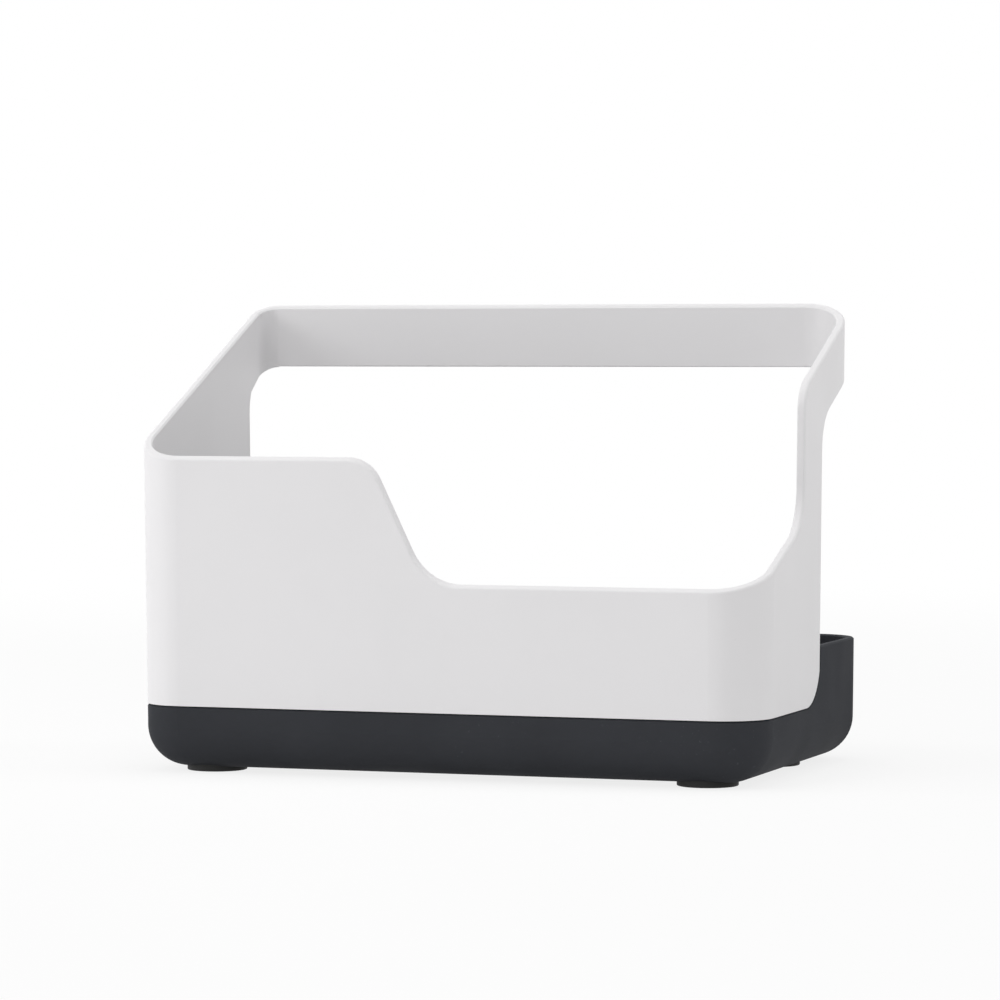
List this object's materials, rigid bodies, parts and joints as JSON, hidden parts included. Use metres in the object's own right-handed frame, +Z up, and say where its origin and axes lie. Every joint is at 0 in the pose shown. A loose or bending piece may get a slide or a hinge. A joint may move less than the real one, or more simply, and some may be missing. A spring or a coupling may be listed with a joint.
{
  "type": "kitchen sink caddy",
  "caption": "Rounded sleeve with a sloping rim, a front dip and a rear cloth rail, which lifts off a dark drip tray on rubber feet; holds sponge, brush and cloth beside a sink.",
  "frame": {"origin": "on the worktop, under the middle of the whole object", "axes": "+X to the right as seen from the front, +Y from the front to the back, +Z up"},
  "size_m": [0.2099, 0.1266, 0.1491],
  "materials": {
    "sleeve_plastic": "satin",
    "tray_plastic": "fine satin",
    "foot_rubber": "matt"
  },
  "bodies": {
    "base": {"tray": "tray_plastic", "foot_front_left": "foot_rubber", "foot_front_right": "foot_rubber", "foot_rear_left": "foot_rubber", "foot_rear_right": "foot_rubber"},
    "sleeve": {"sleeve": "sleeve_plastic"}
  },
  "joints": [
    {"name": "sleeve_lift", "type": "slide", "parent": "base", "child": "sleeve", "axis": [0, 0, 1], "range_m": [0, 0.06]}
  ]
}
